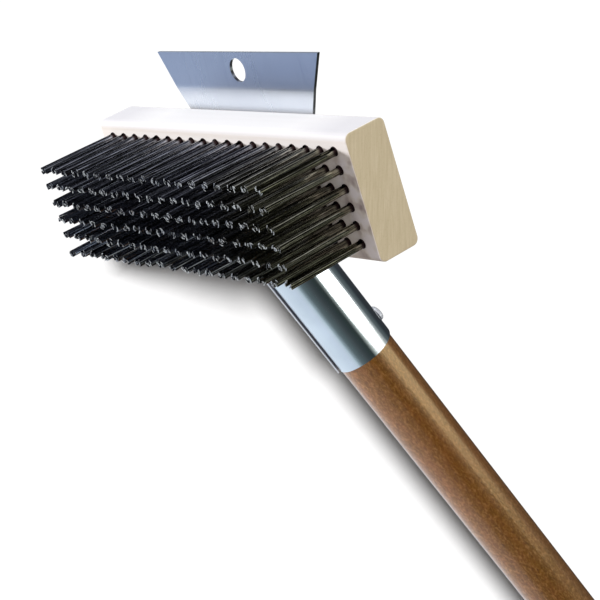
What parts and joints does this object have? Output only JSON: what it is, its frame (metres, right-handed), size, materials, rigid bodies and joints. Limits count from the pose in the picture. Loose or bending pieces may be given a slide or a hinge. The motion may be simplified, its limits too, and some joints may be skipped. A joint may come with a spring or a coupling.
{
  "type": "grill cleaning brush",
  "caption": "Long-handled grill brush: hardwood block of flat steel wire tufts, flared scraper plate on the back, slanted steel socket and a round stained wooden handle.",
  "frame": {"origin": "on the handle axis at the butt end of the handle", "axes": "+Z along the handle from butt to head, +X along the brush block, bristles towards -Y and the back of the block towards +Y"},
  "size_m": [0.1856, 0.0887, 0.7639],
  "materials": {
    "block_wood": "bare, sanded",
    "handle_wood": "stained and lacquered",
    "flat_wire": "blackened tempered flat wire",
    "scraper_steel": "satin",
    "socket_steel": "bright zinc plated",
    "screw_steel": "zinc plated",
    "anchor_wire": "plain"
  },
  "bodies": {
    "root": {"brush_block": "block_wood", "bristle_column_01": "flat_wire", "bristle_column_02": "flat_wire", "bristle_column_03": "flat_wire", "bristle_column_04": "flat_wire", "bristle_column_05": "flat_wire", "bristle_column_06": "flat_wire", "bristle_column_07": "flat_wire", "bristle_column_08": "flat_wire", "bristle_column_09": "flat_wire", "bristle_column_10": "flat_wire", "bristle_column_11": "flat_wire", "bristle_column_12": "flat_wire", "bristle_column_13": "flat_wire", "bristle_column_14": "flat_wire", "bristle_column_15": "flat_wire", "bristle_column_16": "flat_wire", "bristle_column_17": "flat_wire", "bristle_column_18": "flat_wire", "bristle_column_19": "flat_wire", "tuft_anchors": "anchor_wire", "scraper_blade": "scraper_steel", "handle_socket": "socket_steel", "plate_screws": "screw_steel", "handle_screw": "screw_steel", "handle": "handle_wood"}
  },
  "joints": []
}
